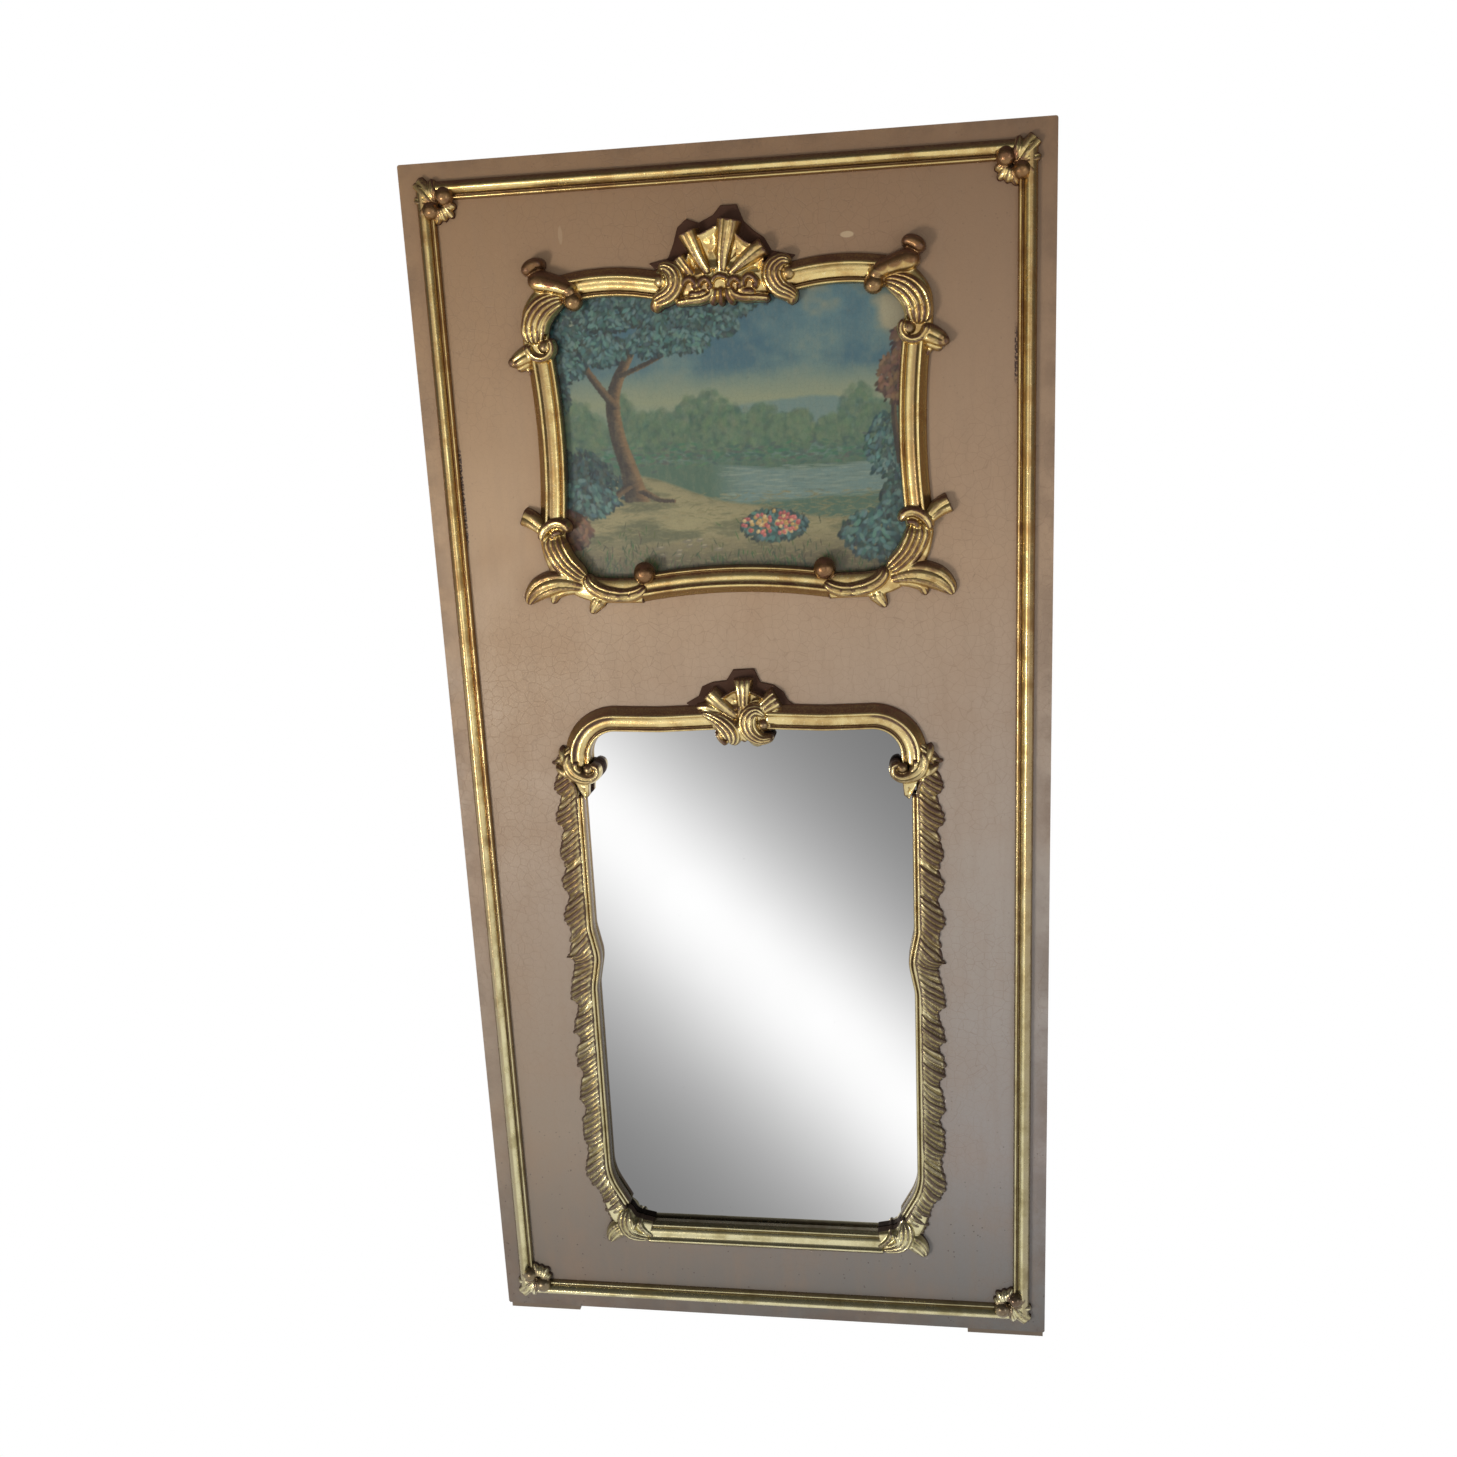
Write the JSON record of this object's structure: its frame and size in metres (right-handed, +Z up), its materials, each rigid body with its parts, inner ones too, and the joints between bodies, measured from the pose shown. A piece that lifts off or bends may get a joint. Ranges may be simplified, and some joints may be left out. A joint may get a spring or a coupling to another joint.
{
  "type": "trumeau mirror",
  "caption": "Tall painted wall panel with a gilt-framed landscape above a gilt-framed looking glass, on two short feet, with hanging rings behind.",
  "frame": {"origin": "on the floor, below the middle of the painted front's face", "axes": "+Z up, +X to the right as the front is seen, +Y from the front face back into the wall"},
  "size_m": [0.83, 0.055, 1.7],
  "materials": {
    "painted_front": "old matt taupe paint, crackled and rubbed",
    "gilding": "rubbed gold leaf over dark red bole on carved wood",
    "picture": "old oil paint on a thin board, a little sheen",
    "looking_glass": "silvered glass",
    "frame_wood": "bare aged softwood",
    "back_wood": "bare thin boards, darkened",
    "oak": "end grain, bare",
    "hanger_brass": "dull, handled",
    "screw_steel": "dull, darkened"
  },
  "bodies": {
    "trumeau": {"back_board_screws": "screw_steel", "border_moulding_bottom": "gilding", "border_moulding_left": "gilding", "border_moulding_right": "gilding", "border_moulding_top": "gilding", "carcass_rail_bottom": "frame_wood", "carcass_rail_middle": "frame_wood", "carcass_rail_top": "frame_wood", "carcass_stile_left": "frame_wood", "carcass_stile_right": "frame_wood", "corner_spray_bottom_left": "gilding", "corner_spray_bottom_right": "gilding", "corner_spray_top_left": "gilding", "corner_spray_top_right": "gilding", "facing_rail_bottom": "painted_front", "facing_rail_middle": "painted_front", "facing_rail_top": "painted_front", "facing_stile_left": "painted_front", "facing_stile_right": "painted_front", "frame_pegs": "oak", "hanger_screws": "screw_steel", "hanger_strap_left": "hanger_brass", "hanger_strap_right": "hanger_brass", "mirror_back_board_left": "back_wood", "mirror_back_board_right": "back_wood", "mirror_batten_bottom": "frame_wood", "mirror_batten_left": "frame_wood", "mirror_batten_right": "frame_wood", "mirror_batten_top": "frame_wood", "mirror_bead_left": "gilding", "mirror_bead_right": "gilding", "mirror_corner_bottom_left": "gilding", "mirror_corner_bottom_right": "gilding", "mirror_crest": "gilding", "mirror_glass": "looking_glass", "mirror_leaf_border_left": "gilding", "mirror_leaf_border_right": "gilding", "mirror_moulding_bottom": "gilding", "mirror_moulding_top_left": "gilding", "mirror_moulding_top_right": "gilding", "painted_board": "picture", "picture_back_board": "back_wood", "picture_batten_bottom": "frame_wood", "picture_batten_left": "frame_wood", "picture_batten_right": "frame_wood", "picture_batten_top": "frame_wood", "picture_corner_bottom_left": "gilding", "picture_corner_bottom_right": "gilding", "picture_corner_top_left": "gilding", "picture_corner_top_right": "gilding", "picture_crest": "gilding", "picture_moulding_bottom": "gilding", "picture_moulding_left": "gilding", "picture_moulding_right": "gilding", "picture_moulding_top_left": "gilding", "picture_moulding_top_right": "gilding"},
    "ring_left": {"hanger_ring_left": "hanger_brass"},
    "ring_right": {"hanger_ring_right": "hanger_brass"}
  },
  "joints": [
    {"name": "ring_left_swing", "type": "hinge", "parent": "trumeau", "child": "ring_left", "pos_m": [-0.21, 0.02475, 1.664], "axis": [1, 0, 0], "range_deg": [0, 180]},
    {"name": "ring_right_swing", "type": "hinge", "parent": "trumeau", "child": "ring_right", "pos_m": [0.21, 0.02475, 1.664], "axis": [1, 0, 0], "range_deg": [0, 180]}
  ]
}
